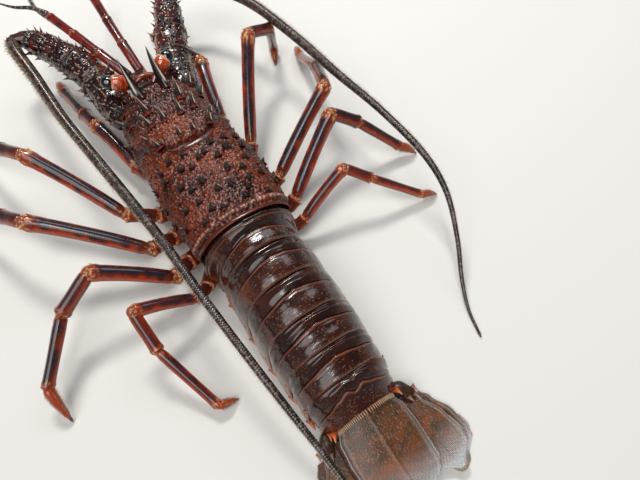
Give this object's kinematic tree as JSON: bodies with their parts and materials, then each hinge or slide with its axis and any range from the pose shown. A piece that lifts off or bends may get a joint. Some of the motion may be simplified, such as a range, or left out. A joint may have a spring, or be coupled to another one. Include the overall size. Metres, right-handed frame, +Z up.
{
  "type": "spiny lobster model",
  "caption": "Life-size still model of a Japanese spiny lobster on its belly, legs spread, one antenna folded back along each side and the tail fan half closed.",
  "frame": {"origin": "on the floor under the middle of the bounding box", "axes": "+Z up, +Y towards the tail and -Y towards the head, +X the animal's left side"},
  "size_m": [0.206, 0.3702, 0.0502],
  "materials": {
    "shell": "wet, rough-grained rusty red-brown shell with black spines",
    "belly": "pale straw to orange breastplate",
    "horn": "glossy black-brown with a pale streak",
    "eye": "glossy black cornea on an orange-red stalk",
    "abdomen": "glossy dark maroon-brown with orange ridge lines and pale specks",
    "tail_fan": "olive to rusty speckled, greyer and finely ribbed to the rear",
    "leg": "glossy dark blue-black above with orange-red edges and cream joints",
    "feeler": "dark brown with rows of pale bristles"
  },
  "bodies": {
    "root": {"carapace": "shell", "underside": "belly", "head_front": "shell", "horn_left": "horn", "eye_left": "eye", "maxilliped_left": "leg", "antenna_base_left": "shell", "antenna_outer_left": "shell", "antenna_whip_1_left": "feeler", "antenna_whip_2_left": "feeler", "antenna_whip_3_left": "feeler", "antennule_stalk_left": "leg", "antennule_inner_left": "feeler", "antennule_outer_left": "feeler", "uropod_base_left": "tail_fan", "uropod_inner_left": "tail_fan", "uropod_outer_left": "tail_fan", "leg_1_left_upper": "leg", "leg_1_left_lower": "leg", "leg_2_left_upper": "leg", "leg_2_left_lower": "leg", "leg_3_left_upper": "leg", "leg_3_left_lower": "leg", "leg_4_left_upper": "leg", "leg_4_left_lower": "leg", "leg_5_left_upper": "leg", "leg_5_left_lower": "leg", "horn_right": "horn", "eye_right": "eye", "maxilliped_right": "leg", "antenna_base_right": "shell", "antenna_outer_right": "shell", "antenna_whip_1_right": "feeler", "antenna_whip_2_right": "feeler", "antenna_whip_3_right": "feeler", "antennule_stalk_right": "leg", "antennule_inner_right": "feeler", "antennule_outer_right": "feeler", "uropod_base_right": "tail_fan", "uropod_inner_right": "tail_fan", "uropod_outer_right": "tail_fan", "leg_1_right_upper": "leg", "leg_1_right_lower": "leg", "leg_2_right_upper": "leg", "leg_2_right_lower": "leg", "leg_3_right_upper": "leg", "leg_3_right_lower": "leg", "leg_4_right_upper": "leg", "leg_4_right_lower": "leg", "leg_5_right_upper": "leg", "leg_5_right_lower": "leg", "abdomen_1": "abdomen", "abdomen_2": "abdomen", "abdomen_3": "abdomen", "abdomen_4": "abdomen", "abdomen_5": "abdomen", "abdomen_6": "abdomen", "telson": "tail_fan"}
  },
  "joints": []
}
